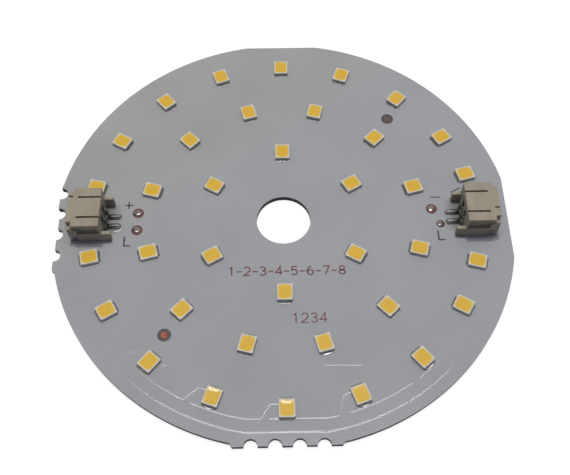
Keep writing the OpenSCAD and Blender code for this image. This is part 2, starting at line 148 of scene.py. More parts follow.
class Tone:
    """A socket in a finish. Arithmetic on it adds Math nodes, and node() adds any other kind."""

    def __init__(self, tree, socket):
        self.tree, self.socket = tree, socket

    def node(self, kind, settings, sockets, out=0):
        """A new node with its settings made first, then the values or links of its sockets."""
        made = self.tree.nodes.new(kind)
        for key, value in settings.items():
            setattr(made, key, value)
        for key, value in sockets.items():
            if isinstance(value, Tone):
                self.tree.links.new(value.socket, made.inputs[key])
            else:
                made.inputs[key].default_value = value
        return Tone(self.tree, made.outputs[out])

    def math(self, operation, first, second):
        """A Math node on two values."""
        return self.node("ShaderNodeMath", {"operation": operation}, {0: first, 1: second})

    def __add__(self, other):
        return self.math("ADD", self, other)

    __radd__ = __add__

    def __mul__(self, other):
        return self.math("MULTIPLY", self, other)

    __rmul__ = __mul__

    def __sub__(self, other):
        return self.math("SUBTRACT", self, other)

    def __rsub__(self, other):
        return self.math("SUBTRACT", other, self)

    def axes(self, letters):
        """The named coordinates of a place."""
        return (self.node("ShaderNodeSeparateXYZ", {}, {0: self}, out=letter) for letter in letters)

    def grain(self, size, detail=2.0, stretch=(1, 1, 1)):
        """Noise whose grains are about size millimetres across, stretched along an axis where asked."""
        scaled = self.node("ShaderNodeMapping", {}, {"Vector": self, "Scale": stretch})
        sockets = {"Vector": scaled, "Scale": 1 / (size * mm), "Detail": detail}
        return scaled.node("ShaderNodeTexNoise", {}, sockets)

    def band(self, low, high):
        """0 below low, 1 above high and smooth between."""
        sockets = {"Value": self, 1: low, 2: high}
        return self.node("ShaderNodeMapRange", {"interpolation_type": "SMOOTHSTEP"}, sockets)

    def beyond(self, low, high):
        """0 within low millimetres of zero on both sides, 1 beyond high, smooth between by the square."""
        return (self * self).band((low * mm) ** 2, (high * mm) ** 2)

    def blend(self, first, second):
        """The first colour where this is 0 and the second where it is 1."""
        return self.node("ShaderNodeMix", {"data_type": "RGBA"}, {0: self, 6: first, 7: second}, out=2)

    def relief(self, depth, strength):
        """A bump whose height is this times depth millimetres."""
        sockets = {"Strength": strength, "Distance": depth * mm, "Height": self}
        return self.node("ShaderNodeBump", {}, sockets)

    def mark(self, name):
        """A value that the mesh carries."""
        return self.node("ShaderNodeAttribute", {"attribute_name": name}, {}, out="Fac")

    def into(self, shader, socket):
        """Links this to a socket of a shader."""
        self.tree.links.new(self.socket, shader.inputs[socket])


def srgb(red, green, blue):
    """Linear colour of a screen colour from 0 to 255."""
    c = np.array((red, green, blue)) / 255
    return (*np.where(c < 0.04045, c / 12.92, ((c + 0.055) / 1.055) ** 2.4), 1.0)


def finish(name, even):
    """A material, its shader with the even values set, and the place on the piece in metres."""
    material = bpy.data.materials.new(name)
    material.use_nodes = True
    tree = material.node_tree
    shader = tree.nodes["Principled BSDF"]
    for key, value in even.items():
        shader.inputs[key].default_value = value
    place = Tone(tree, tree.nodes.new("ShaderNodeTexCoord").outputs["Object"])
    return material, shader, place


def punched(low, high, worn):
    """A layer of the board: its cross-section, with worn lower edges, carried round the outline's angles."""
    angle = outline_angles()
    rim, hole = outline_radius(angle), np.full_like(angle, hole_r)
    radius = np.stack((hole, hole, hole + worn, rim - worn, rim, rim), -1)
    height = np.broadcast_to((high, low + worn, low, low, low + worn, high), radius.shape)
    points = np.stack((radius * np.cos(angle)[:, None], radius * np.sin(angle)[:, None], height), -1)
    cut_side = np.broadcast_to((1.0, 1, 0, 0, 1, 1), radius.shape)
    return points.reshape(-1, 3), grid_faces(*radius.shape, True, True)[:, ::-1], cut_side


aluminium, shader, place = finish("rolled_aluminium", {"Specular IOR Level": 0.05})
sheared_and_shaded = place.mark("sheared_and_shaded")
rolling = place.grain(0.25, 3, (0.03, 1, 1))
smear = place.grain(9, 3)
tint = (0.7 * rolling + 0.3 * smear).band(0.25, 0.75).blend(srgb(172, 173, 176), srgb(196, 197, 199))
tear = place.grain(0.3, 3, (1, 1, 0.3))
# Edge colour: the dull cut, coloured darker than sheared metal as painted shade.
cut = tear.band(0.3, 0.7).blend(srgb(48, 49, 52), srgb(76, 77, 80))
sheared_and_shaded.blend(tint, cut).into(shader, "Base Color")
(0.92 - 0.8 * sheared_and_shaded).into(shader, "Metallic")
(0.3 + 0.2 * rolling + 0.15 * sheared_and_shaded).into(shader, "Roughness")
(rolling + 2 * sheared_and_shaded * tear).relief(0.012, 0.5).into(shader, "Normal")
points, faces, cut_side = punched(0.0, plate_top, plate_worn)
piece(
    "aluminium_plate", points, faces, aluminium, ["aluminium_base"],
    smooth=40, values={"sheared_and_shaded": cut_side},
)

# The insulation is a thin brown resin sheet pressed on the plate, seen in the bare rings of the two targets
# and as a fine dark line round the edge.
sheet_top, sheet_worn = 1.14, 0.004
resin, shader, place = finish("brown_resin", {"Roughness": 0.5})
weave = place.grain(0.3, 2)
weave.band(0.3, 0.7).blend(srgb(72, 62, 58), srgb(94, 82, 77)).into(shader, "Base Color")
weave.relief(0.01, 0.4).into(shader, "Normal")
points, faces, _ = punched(plate_top, sheet_top, sheet_worn)
piece("insulation_sheet", points, faces, resin, ["insulation_layer"], smooth=40)

# The copper is foil, etched into 39 islands under the coat. It is bare in the target dots, one brick red
# and one dulled brown, and in the pads beside the headers, where flux has stained it maroon.
copper_top = 1.175


def dressed(node, material):
    """A CAD node with its finish in place of the plain one, its mesh left as it is."""
    nodes[node].data.materials.clear()
    nodes[node].data.materials.append(material)


copper, shader, place = finish("bare_copper", {"Metallic": 0.3})
along_x, along_y = place.axes("XY")
stain = place.grain(0.5, 3)
stained = stain.band(0.3, 0.7)
bright = stained.blend(srgb(148, 74, 50), srgb(176, 97, 68))
dulled = stained.blend(srgb(97, 83, 79), srgb(110, 95, 91))
fluxed = stained.blend(srgb(100, 57, 58), srgb(120, 74, 74))
clean = along_x.band(-10 * mm, 10 * mm).blend(bright, dulled)
along_y.beyond(10, 17.32).blend(fluxed, clean).into(shader, "Base Color")
(0.3 + 0.25 * stain).into(shader, "Roughness")
dressed("copper_circuit", copper)

# The coat is white resist, printed over the foil and cured. It lies level on the copper, dips along each
# etched gap, deepest along the edge bus at the sides, and steps down to the border round the rim and the
# hole. Its colour is darker in a band behind each header, round the feet, and flux from soldering has left
# a pale line at the left front foot.
coat_top, copper_step, step_half, step_drop = 1.2, 2.075, 0.2, 0.034
gap_half, deep_dip, faint_dip = 0.32, 0.02, 0.004
bus_dip, bus_dip_rise, side_x = 0.0138, 0.00055, 25
outer_r, middle_r, inner_r = 36.0, 25.5, 15.0
outer_a = np.array(
    (90, 70, 50, 30, 15, -15, -30, -50, -70, -90, -110, -130, -150, -168, 168, 150, 130, 110), float
)
middle_a = 15.0 + 30 * np.arange(12)
inner_a = 30.0 + 60 * np.arange(6)
rings = {"outer": (outer_r, outer_a, 1), "middle": (middle_r, middle_a, 1), "inner": (inner_r, inner_a, -1)}
led_l, led_w, bar_u, bar_w = 3.2, 2.8, -0.7, 0.5
before_led, close_before_led, after_led = 1.3, 0.3, 0.5
bus_in, bus_break, front_bus, back_bus = 4.15, 2.2, (-173.2, -6.8), (7.0, 170.2)
zone_1, zone_2, hole_gap_r = 30.4, 20.2, hole_r + 1.6


def polar(radius, degrees):
    """Points at a radius and an angle about the axis."""
    return radius * np.exp(1j * np.radians(degrees))


def under_diode(r, a, u, before, start, end):
    """Etched gap of one diode: from the gap outside it, between its leads, to the gap inside it."""
    own, bar = polar(1, a), r + u
    enter, leave = bar - 1j * (led_w / 2 + before), bar + 1j * (led_w / 2 + after_led)
    return np.array((start, own * enter, own * leave, end))


def around(inset, first, last):
    """Part of the outline moved inwards, without the notches."""
    angle = np.radians(np.linspace(first, last, int(last - first) + 2))
    return outline_radius(angle, inset, False) * np.exp(1j * angle)


# Middle lines of the etched gaps: under the diodes, round the headers, between the rings and along the bus.
usual_step, foot_step = 6.6, {-168: 3.4, 15: 5.6}
foot_a = np.array([a - foot_step.get(a, usual_step) for a in outer_a])
outer_gaps = [
    under_diode(
        outer_r, a, bar_u, close_before_led if a == -168 else before_led,
        polar(board_r - bus_in, foot), polar(zone_1, a + (1.5 if a == 168 else 3.8)),
    )
    for a, foot in zip(outer_a, foot_a)
]
gaps = [np.r_[path[:2], path[1:3].mean()] for path in outer_gaps]
gaps += [np.r_[path[1:3].mean(), path[2:]] for path in outer_gaps]
gaps += [
    under_diode(
        middle_r, a, bar_u, {15: 0.0, 195: close_before_led}.get(a, before_led),
        24.7 + 3.4j if a == 15 else polar(zone_1, 191.5 if a == 195 else a - 9), polar(zone_2, a + 8),
    )
    for a in middle_a
]
gaps += [
    under_diode(inner_r, a, -bar_u, before_led, polar(zone_2, a - 13), polar(hole_gap_r, a + 18))
    for a in inner_a
]
gaps += [
    np.array((-41.4 + 0.04j, -25.3 + 0.04j, -25.3 - 3.7j, -36.5 - 4.5j, -37.5 - 4.5j)),
    np.array((-41.4 + 2.5j, -29.6 + 2.5j, -28.3 + 3.4j, -26.3 + 3.4j, -25.1 + 2.2j, polar(zone_2, 181.6))),
    np.array((polar(zone_1, 169.5), -27.2 + 4.85j, -24.3 + 3.6j, -20.2 + 1j, -12 + 1j, -6.6 + 0.7j)),
    np.array((37.5 + 4.6j, 36 + 4.6j, 28.2 + 3.6j, 26.1 + 3.2j, 26.1 - 2.7j, 36 - 4.5j, 37.5 - 4.5j)),
    np.array((26.1 + 0.1j, 41.4 + 0.1j)),
    np.array((
        polar(zone_1, 13.2), 27.6 + 5.2j, 26.2 + 4.3j, 24.7 + 3.6j, 23.6 + 2.2j,
        23.6 - 2.2j, 24.7 - 3.6j, 26.2 - 4.3j, 27.6 - 5.2j, polar(zone_1, -11.2),
    )),
    polar(zone_1, np.linspace(13.2, 169.5, 158)), polar(zone_1, np.linspace(191.5, 348.8, 158)),
    polar(zone_2, np.linspace(181.6, 533.0, 353)),
]
front_feet, back_feet = np.sort(foot_a[foot_a < 0]), np.sort(foot_a[foot_a > 0])
bus_starts = np.r_[front_bus[0], front_feet + bus_break, back_bus[0], back_feet + bus_break]
bus_ends = np.r_[front_feet, front_bus[1], back_feet, back_bus[1]]
bus = [around(bus_in, first, last) for first, last in zip(bus_starts, bus_ends)]
from_middle = np.array([abs(path.mean().real) for path in bus])
short = [
    np.array((6.4 - 28.67j, 12.7 - 28.78j)), np.array((-21.3 - 28.19j, -20 - 28.21j)),
    np.array((9.7 - 33.8j, 10.5 - 33.53j)),
]
dips = np.r_[
    np.full(len(outer_a), deep_dip), np.full(len(gaps) - len(outer_a), faint_dip),
    bus_dip + bus_dip_rise * np.minimum(from_middle, side_x), np.full(len(short), deep_dip),
]
gaps += bus + short


def beside(path, off):
    """The path moved off to its left, mitred at its corners."""
    way = np.diff(path) / abs(np.diff(path))
    before, after = 1j * np.r_[way[:1], way], 1j * np.r_[way, way[-1:]]
    middle = before + after
    return path + middle * off / (middle * before.conj()).real


def strip(path, half):
    """Closed loop round a path at half its width, with a pointed cap at each end."""
    tip = path[-1] + half * (path[-1] - path[-2]) / abs(path[-1] - path[-2])
    tail = path[0] + half * (path[0] - path[1]) / abs(path[0] - path[1])
    return np.r_[beside(path, half), tip, beside(path, -half)[::-1], tail]


def frame_of(x0, x1, y0, y1):
    """Corners of a rectangle between two lengths and two widths, to the left."""
    return np.array((x0 + 1j * y0, x1 + 1j * y0, x1 + 1j * y1, x0 + 1j * y1))


pad_out, lead_half = 0.36, 1.1
lead_frames = (
    frame_of(-led_l / 2 - pad_out, bar_u - bar_w / 2, -lead_half, lead_half),
    frame_of(bar_u + bar_w / 2, led_l / 2 + pad_out, -lead_half, lead_half),
)
header_x, header_y, foot_x, foot_y = 33, 0.1, -1.75, 1
tab_pad_x, tab_pad_y = (4.25, 5.95), (2.85, 4.12)
foot_pad = foot_x + np.array((
    1.2 + 0.31j, 0.85 + 0.66j, -0.85 + 0.66j, -1.2 + 0.31j,
    -1.2 - 0.31j, -0.85 - 0.66j, 0.85 - 0.66j, 1.2 - 0.31j,
))
header_frames = (
    foot_pad - 1j * foot_y, foot_pad + 1j * foot_y,
    frame_of(*tab_pad_x, *tab_pad_y), frame_of(*tab_pad_x, -tab_pad_y[1], -tab_pad_y[0]),
)
pads = {
    "left_pad_solder_plus": (-27.05 + 1.86j, 1.05), "left_pad_solder_line": (-27.06 - 1.78j, 1.05),
    "right_pad_solder_minus": (27.68 + 1.89j, 1.05), "right_pad_solder_line": (29.05 - 1.35j, 0.8),
}
target_r, by_target_r = 1.2, 1.25
targets = np.array((21 + 22.9j, -20.9 - 22.6j))
openings = [
    polar(1, a) * (r + turn * opening)
    for r, degrees, turn in rings.values() for a in degrees for opening in lead_frames
]
openings += [turn * (header_x + opening) + 1j * header_y for turn in (1, -1) for opening in header_frames]
openings += [
    at + polar(r, np.arange(0, 360, 7.5)) for at, r in (*pads.values(), *((at, target_r) for at in targets))
]


def inside(points, loop):
    """Whether points lie inside a convex loop that runs to the left: they are left of all its sides."""
    side = np.roll(loop, -1) - loop
    return (((points[:, None] - loop) * side.conj()).imag >= 0).all(1)


def off_path(points, path):
    """Distance of points from a path: the least of the distances from its straight parts."""
    start, way = path[:-1], np.diff(path)
    share = ((points[:, None] - start) * way.conj()).real / abs(way) ** 2
    return abs(points[:, None] - start - np.clip(share, 0, 1) * way).min(1)


def coat_height(points):
    """Height of the coat: its top less a cosine dip over each gap and a cosine step, deeper at the sides."""
    off = np.stack([off_path(points, path) for path in gaps], -1)
    dip = (dips * (1 + np.cos(np.pi * np.minimum(off / gap_half, 1))) / 2).max(-1)
    inset = np.minimum(outline_radius(np.angle(points), 0, False) - abs(points), abs(points) - hole_r)
    down = (1 - np.cos(np.pi * np.clip((copper_step + step_half - inset) / (2 * step_half), 0, 1))) / 2
    drop = step_drop * (0.5 + 0.5 * np.minimum(abs(points.real) / side_x, 1))
    return coat_top - np.maximum(dip * (1 - down), drop * down)


def coat_normal(points):
    """Upright of the coat's face, from the height's change over a hundredth of a millimetre each way."""
    half = 0.005
    slope_x, slope_y = (
        (coat_height(points + way) - coat_height(points - way)) / (2 * half) for way in (half, half * 1j)
    )
    upright = np.stack((-slope_x, -slope_y, np.ones_like(slope_x)), -1)
    return upright / np.sqrt((upright**2).sum(-1))[:, None]


def chain(start, count, closed):
    """Pairs of neighbours along a path of points, its last and first too where it is closed."""
    step = np.arange(count if closed else count - 1)
    return start + np.stack((step, (step + 1) % count), -1)


# The face is a net of triangles through every edge, opening, gap and step, each point at the coat's height.
# The same net lies below on the copper or the sheet, and walls join the two along all open sides.
edge_angle = outline_angles()
step_sides = (-step_half, 0, step_half)
loops = [outline_radius(edge_angle) * np.exp(1j * edge_angle), polar(hole_r, np.arange(0, 360, 3.0))]
loops += [around(copper_step + off, -180, 178.9) for off in step_sides]
loops += [polar(hole_r + copper_step + off, np.arange(0, 360, 4.0)) for off in step_sides]
loops += openings + [strip(path, half) for path in gaps for half in (gap_half, gap_half / 2)]
paths = loops + gaps
knots = np.concatenate(paths)
starts = np.cumsum([0] + [len(path) for path in paths])
links = np.concatenate([chain(starts[k], len(path), k < len(loops)) for k, path in enumerate(paths)])
laid = delaunay_2d_cdt(np.stack((knots.real, knots.imag), -1).tolist(), links.tolist(), [], 0, 1e-5, False)
spots = np.array([spot[:] for spot in laid[0]]) @ (1, 1j)
sides = np.array(laid[2])
centre = spots[sides].mean(1)
kept = (abs(centre) > hole_r * 0.9999) & (abs(centre) < outline_radius(np.angle(centre)))
for loop in openings:
    kept &= ~inside(centre, loop)
used, sides = np.unique(sides[kept], return_inverse=True)
spots, sides = spots[used], sides.reshape(-1, 3)
one, two, three = spots[sides].T
turned = ((two - one).conj() * (three - one)).imag < 0
sides[turned] = sides[turned][:, ::-1]
ways = sides[:, ((0, 1), (1, 2), (2, 0))].reshape(-1, 2)
_, first, count = np.unique(np.sort(ways, 1), axis=0, return_index=True, return_counts=True)
rim = ways[first[count == 1]]
below = len(spots)
walls = np.stack((rim[:, 0], rim[:, 0] + below, rim[:, 1] + below, rim[:, 1]), -1)
flat = np.stack((spots.real, spots.imag), -1)
top = coat_height(spots)
by_target = abs(spots[:, None] - targets).min(1) < by_target_r
low = np.where((top < coat_top - 1e-5) | by_target, sheet_top, copper_top)
points = np.r_[np.c_[flat, top], np.c_[flat, low]]
faces = [*sides, *(sides[:, ::-1] + below), *walls]
outward = spots[rim[:, 1]] - spots[rim[:, 0]]
outward = -1j * outward / abs(outward)
normals = np.concatenate((
    coat_normal(spots)[sides.ravel()], np.tile((0.0, 0, -1), (sides.size, 1)),
    np.repeat(np.stack((outward.real, outward.imag, 0 * outward.real), -1), 4, 0),
))

coat, shader, place = finish("white_coat", {"Specular IOR Level": 0.36})
along_x, along_y = place.axes("XY")
cloud = place.grain(14, 3)
speck = place.grain(0.35, 2)
patchy = (0.75 * cloud + 0.25 * speck).band(0.3, 0.7)
cool = patchy.blend(srgb(150, 151, 154), srgb(156, 157, 160))
warm = patchy.blend(srgb(150, 149.6, 149), srgb(156, 155.6, 155))
mottle = (along_y - 0.7 * along_x).band(5 * mm, 35 * mm).blend(cool, warm)
# Darker in a band behind each header, round its feet.
header_dark_band = along_x.beyond(29.5, 32.71) * (1 - along_x.beyond(33.91, 35.36))
header_dark_band = header_dark_band * (1 - (along_y - 0.6 * mm).beyond(2.45, 3.87))
with_header_band = header_dark_band.blend(mottle, srgb(117, 119, 116))
from_x, from_y = along_x + 30.9 * mm, along_y + 0.9 * mm
from_foot = from_x * from_x + from_y * from_y
ring_in, ring_middle, ring_out = ((r * mm) ** 2 for r in (0.8885, 1.026, 1.192))
ring = from_foot.band(ring_in, ring_middle) * (1 - from_foot.band(ring_middle, ring_out))
dried = ring * (0.4 * from_x - 0.9 * from_y).band(0.6 * mm, 0.9 * mm)
dried.blend(with_header_band, srgb(216, 215, 208)).into(shader, "Base Color")
(0.09 + 0.05 * cloud).into(shader, "Roughness")
(place.grain(0.9, 2) + 0.4 * speck).relief(0.002, 0.3).into(shader, "Normal")
piece("white_coat", points, faces, coat, ["white_mask"], normals=normals)

# Each diode's body is a cup moulded in white plastic round its two leads, with a level rim, a sloping inside
# and one cut corner that marks its polarity. A ring of diodes is one piece.
corner_turn = np.radians(np.array((0, 90, 180, 270))[:, None] + np.linspace(0, 90, 6))
loop_n = corner_turn.size


def rounded(u, v, corner, cut):
    """Loop of a rectangle of half sizes u and v with round corners, the first of them larger by cut."""
    c = np.array((corner + cut, corner, corner, corner))[:, None]
    u_way, v_way = np.array((1, -1, -1, 1))[:, None], np.array((1, 1, -1, -1))[:, None]
    along_u = u_way * (u - c) + c * np.cos(corner_turn)
    along_v = v_way * (v - c) + c * np.sin(corner_turn)
    return np.stack((along_u, along_v), -1).reshape(-1, 2)


def lofted(sections):
    """Rows of points through loops, each with its inset from the body's size, its height and its corners."""
    rows = [
        np.c_[rounded(led_l / 2 - inset, led_w / 2 - inset, corner, cut), np.full(loop_n, z)]
        for inset, z, corner, cut in sections
    ]
    return np.stack(rows)


def on_ring(shape, ring, lift=0.0):
    """Copies of a shape's points, one for each diode of a ring, turned, put in place and lifted."""
    r, degrees, turn = ring
    flat = (shape[..., 0] + 1j * shape[..., 1]).ravel() * turn + r
    flat = np.exp(1j * np.radians(degrees))[:, None] * flat
    height = np.broadcast_to(shape[..., 2].ravel() + copper_top + lift, flat.shape)
    return np.stack((flat.real, flat.imag, height), -1).reshape(-1, 3)


def shifted(faces, by):
    """The same faces on points further on in the list."""
    return [[point + by for point in face] for face in faces]


def repeated(faces, count, size):
    """The same faces for each of the copies of a shape with size points."""
    return [face for k in range(count) for face in shifted(faces, k * size)]


rim_in, rim_corner, rim_cut, cup_floor = 0.21, 0.6, 0.06, (0.45, 0.26, 0.34, 0.05)
body = lofted((
    (0.05, 0.05, 0.1, 0.1), (0.02, 0.2, 0.1, 0.1), (0.0, 0.3, 0.1, 0.1), (0.015, 0.72, 0.1, 0.1),
    (0.035, 0.78, 0.1, 0.1), (0.07, 0.8, 0.1, 0.1), (0.18, 0.8, 0.56, 0.06),
    (rim_in, 0.78, rim_corner, rim_cut), cup_floor, (0.45, 0.05, 0.34, 0.05),
))
body_faces = grid_faces(len(body), loop_n, True, True)
moulded, shader, place = finish("moulded_white", {"Roughness": 0.45})
haze = place.grain(1.5, 2)
haze.band(0.3, 0.7).blend(srgb(190, 185, 173), srgb(204, 199, 187)).into(shader, "Base Color")
place.grain(0.2, 2).relief(0.004, 0.4).into(shader, "Normal")
for word, ring in rings.items():
    piece(
        "diode_bodies_" + word, on_ring(body, ring), repeated(body_faces, len(ring[1]), body[..., 0].size),
        moulded, ["led_housings_" + word], smooth=35,
    )

# The filling is silicone loaded with yellow phosphor, poured into the cup and cured. It clings to the wall,
# so its glossy face sinks towards the middle, unevenly from diode to diode and most in two at the front.
fill_z, deep_sag, least_sag, sag_step, deep_sag_a = 0.78, 0.067, 0.02, 0.004, (-110, -90)


def capped(rows, columns, turned):
    """Faces of a row of closed loops: its sides and both its ends, all turned round where asked."""
    count = rows * columns
    faces = [*grid_faces(rows, columns, False, True), range(columns)[::-1], range(count - columns, count)]
    return [face[::-1] for face in faces] if turned else faces


share = np.array((0.02, 0.2, 0.4, 0.6, 0.75, 0.88, 0.96, 1.0))
half_u, half_v = led_l / 2 - rim_in, led_w / 2 - rim_in
face_flat = rounded(half_u, half_v, rim_corner, rim_cut) * share[:, None, None]
hollow = (1 - abs(face_flat[..., 0] / half_u) ** 3) * (1 - abs(face_flat[..., 1] / half_v) ** 3)
face_rows = np.concatenate((face_flat, np.full((*hollow.shape, 1), fill_z)), -1)
filling = np.concatenate((face_rows, lofted((cup_floor,))))
hollow = np.r_[hollow.ravel(), np.zeros(loop_n)]
filling_faces = capped(len(filling), loop_n, True)
near_wall = np.repeat(np.r_[share, 1.0], loop_n)
phosphor, shader, place = finish(
    "phosphor_silicone", {"Roughness": 0.4, "Coat Weight": 0.8, "Coat Roughness": 0.08}
)
grit = place.grain(0.12, 2)
patch = place.grain(1.2, 2)
deep = (0.6 * grit + 0.4 * patch).band(0.3, 0.7).blend(srgb(204, 162, 33), srgb(215, 171, 43))
place.mark("near_wall").band(0.8, 1.0).blend(deep, srgb(210, 180, 92)).into(shader, "Base Color")
grit.relief(0.006, 0.4).into(shader, "Normal")
for word, ring in rings.items():
    count = len(ring[1])
    uneven = least_sag + sag_step * (np.arange(count) * 3 % 5)
    sag = np.where(np.isin(ring[1], deep_sag_a), deep_sag, uneven)
    piece(
        "diode_filling_" + word, on_ring(filling, ring, -sag[:, None] * hollow),
        repeated(filling_faces, count, hollow.size), phosphor, ["led_phosphor_" + word],
        smooth=60, values={"near_wall": np.tile(near_wall, count)},
    )

# The chips lie under the filling on the leads, which are plated copper strip that comes out at both ends.
# Both keep the frame's own solids.
chip, shader, place = finish("chip", {"Roughness": 0.15, "Metallic": 0.2})
place.grain(0.1, 2).band(0.3, 0.7).blend(srgb(96, 120, 160), srgb(130, 150, 184)).into(shader, "Base Color")
plated, shader, place = finish("plated_lead", {"Metallic": 1.0})
rub = place.grain(0.25, 3)
rub.band(0.3, 0.7).blend(srgb(104, 103, 101), srgb(136, 135, 132)).into(shader, "Base Color")
(0.3 + 0.2 * rub).into(shader, "Roughness")
for word in rings:
    for kind, material in (("dies", chip), ("cathodes", plated), ("anodes", plated)):
        dressed(f"led_{kind}_{word}", material)

# Solder paste melted under the leads has drawn up a hollow fillet at each end of a diode, and lies in a low
# slope outside four diodes at the front. The fillets at the inner ends are coloured darker, as painted
# shade.
lead_end, lead_z, fillet_h, fillet_half, fillet_out = 1.7, 0.05, 0.2, 1.09, 0.25
low_fillet_a = (-110, -70, -50, 285)


def lead_fillet(way, start, rise):
    """Section along the lead, flat under it and rising to its end, carried across and drawn in sideways."""
    across = np.linspace(-1, 1, 9)[:, None]
    full = np.sqrt(np.maximum(1 - across**12, 0.3))
    share = np.array((0, 0.3, 0.55, 0.75, 0.9, 1))
    hollow_u = lead_end + fillet_out * full * (1 - share)
    hollow_z = fillet_h * full * rise(share, across)
    ends = np.ones_like(across)
    u = np.c_[start * way * ends, hollow_u, lead_end * ends, start * way * ends] * way
    z = np.c_[0 * ends, hollow_z, lead_z * ends, lead_z * ends]
    v = np.broadcast_to(fillet_half * across, u.shape)
    return np.stack((u, v, z), -1)


def hollow_rise(share, across):
    """Quarter of a circle, level at the pad and upright at the lead."""
    return 1 - np.sqrt(1 - share**2) + 0 * across


def low_rise(share, across):
    """Slope that is higher towards its sides, with a short bend up to the lead."""
    return 0.11 * share * (1 + 2 * across**2) + 0.6 * share**10


inner_fillet = lead_fillet(-1, bar_u - bar_w / 2, hollow_rise)
fillets = np.stack((lead_fillet(1, bar_u + bar_w / 2, hollow_rise), inner_fillet))
low_fillets = np.stack((lead_fillet(1, bar_u + bar_w / 2, low_rise), inner_fillet))
lowered = (low_fillets - fillets)[..., 2].ravel()
rows, columns = inner_fillet.shape[:2]
fillet_n = rows * columns
fillet_faces = capped(rows, columns, True) + shifted(capped(rows, columns, False), fillet_n)
inner_side = np.repeat((0.0, 1.0), fillet_n)
dull_solder, shader, place = finish("dull_solder", {"Metallic": 0.7})
ripple = place.grain(0.4, 2)
# Painted shade: the fillets at the inner ends are coloured darker than those at the outer ends.
ends = place.mark("inner_end").blend(srgb(172, 171, 168), srgb(122, 120, 116))
ripple.band(0.3, 0.7).blend(ends, srgb(150, 148, 144)).into(shader, "Base Color")
(0.16 + 0.14 * ripple).into(shader, "Roughness")
ripple.relief(0.01, 0.4).into(shader, "Normal")
for word, ring in rings.items():
    count = len(ring[1])
    is_low = np.isin(ring[1], low_fillet_a)[:, None]
    piece(
        "diode_solder_" + word, on_ring(fillets, ring, is_low * lowered),
        repeated(fillet_faces, count, 2 * fillet_n), dull_solder, ["led_solder_" + word],
        smooth=40, values={"inner_end": np.tile(inner_side, count)},
    )

# The headers are moulded in tan plastic, open towards the rim, with two slits in the top and a wing at each
# side of the rear. Their edges are a little round from the mould.
housing_edge = 0.08
tan, shader, place = finish("tan_plastic", {"Specular IOR Level": 0.35})
flow = place.grain(2.2, 3, (1, 0.4, 1))
dot = place.grain(0.15, 2)
streaky = (0.7 * flow + 0.3 * dot).band(0.3, 0.7)
streaky.blend(srgb(140, 130, 112), srgb(154, 145, 128)).into(shader, "Base Color")
(0.42 + 0.16 * dot).into(shader, "Roughness")
dot.relief(0.006, 0.5).into(shader, "Normal")


def rounded_edges(node, width, material):
    """Joins a CAD node's triangles, merges its flat faces and rounds its edges by width millimetres."""
    weld = nodes[node].modifiers.new("join", "WELD")
    weld.merge_threshold = 1e-7
    flat = nodes[node].modifiers.new("flat", "DECIMATE")
    flat.decimate_type, flat.angle_limit = "DISSOLVE", np.radians(1)
    soft = nodes[node].modifiers.new("soft", "BEVEL")
    soft.width, soft.segments, soft.limit_method, soft.angle_limit = width * mm, 2, "ANGLE", np.radians(30)
    dressed(node, material)


for side in ("left", "right"):
    rounded_edges(side + "_header_housing", housing_edge, tan)

# The contacts are square tinned wire, bent down behind the housing to a foot on the board. A folded tab,
# mottled where it took the solder, holds each side of the mouth.
wire_edge, tab_edge = 0.14, 0.05
tinned, shader, place = finish("tinned_wire", {"Metallic": 1.0})
drawn = place.grain(0.12, 3, (0.1, 1, 1))
drawn.band(0.3, 0.7).blend(srgb(92, 91, 88), srgb(122, 120, 116)).into(shader, "Base Color")
(0.2 + 0.2 * drawn).into(shader, "Roughness")
mottled, shader, place = finish("mottled_tin", {"Metallic": 0.8})
spot = place.grain(0.4, 3)
spot.band(0.38, 0.62).blend(srgb(96, 93, 90), srgb(182, 180, 176)).into(shader, "Base Color")
(0.25 + 0.3 * spot).into(shader, "Roughness")
spot.relief(0.03, 0.5).into(shader, "Normal")
for side, sign in (("left", "plus"), ("left", "line"), ("right", "minus"), ("right", "line")):
    rounded_edges(f"{side}_header_contact_{sign}", wire_edge, tinned)
for side in ("left", "right"):
    for end in ("front", "back"):
        rounded_edges(f"{side}_header_tab_{end}", tab_edge, mottled)

# Solder wets the pads round the contacts' feet in long low mounds and runs up the tabs in small fillets.
# It is dull where flux has dried on it.
mound_half, pad_low = 1.18, copper_top - coat_top
tab_face, tab_middle, tab_half = 4.0, 5.1, 0.74
dark_solder, shader, place = finish("dark_solder", {"Metallic": 1.0})
ripple = place.grain(0.6, 2)
ripple.band(0.3, 0.7).blend(srgb(142, 141, 138), srgb(162, 161, 158)).into(shader, "Base Color")
(0.28 + 0.04 * ripple).into(shader, "Roughness")


def mound(x, y):
    """Section across a foot, a round ridge between hollow sides, carried along and drawn in at its ends."""
    along = np.sin(np.radians(np.linspace(-90, 90, 21)))[:, None]
    full = np.maximum(1 - along**6, 0) ** 0.5
    half = np.array((0.65, 0.56, 0.47, 0.39, 0.34, 0.31, 0.25, 0.17, 0.08))
    rise = np.array((0.0, 0.03, 0.09, 0.17, 0.24, 0.35, 0.47, 0.545, 0.575))
    half, rise = np.r_[half, 0, -half[::-1]], np.r_[rise, 0.58, rise[::-1]]
    width = 0.2 + 0.8 * full
    top = np.stack((x + mound_half * along + 0 * half, y + width * half, full * rise), -1)
    low = top[:, (0, -1)] * (1, 1, 0) + (0, 0, pad_low)
    return np.concatenate((low[:, :1], top, low[:, 1:]), 1)


def tab_fillet(way):
    """Hollow cross-section against a tab's outer face, carried along the tab and drawn in at both ends."""
    along = np.linspace(-1, 1, 11)[:, None]
    full = np.sqrt(np.maximum(1 - along**6, 0.02))
    turn = np.radians(np.linspace(0, 90, 8))
    behind = tab_face - 0.05 + 0 * along
    y = way * np.c_[tab_face + 0.11 * full * (1 - np.sin(turn)), behind, behind]
    z = np.c_[0.5 * full * (1 - np.cos(turn)), 0.45 * full, pad_low + 0 * along]
    x = np.broadcast_to(tab_middle + tab_half * along, y.shape)
    return np.stack((x, y, z), -1)


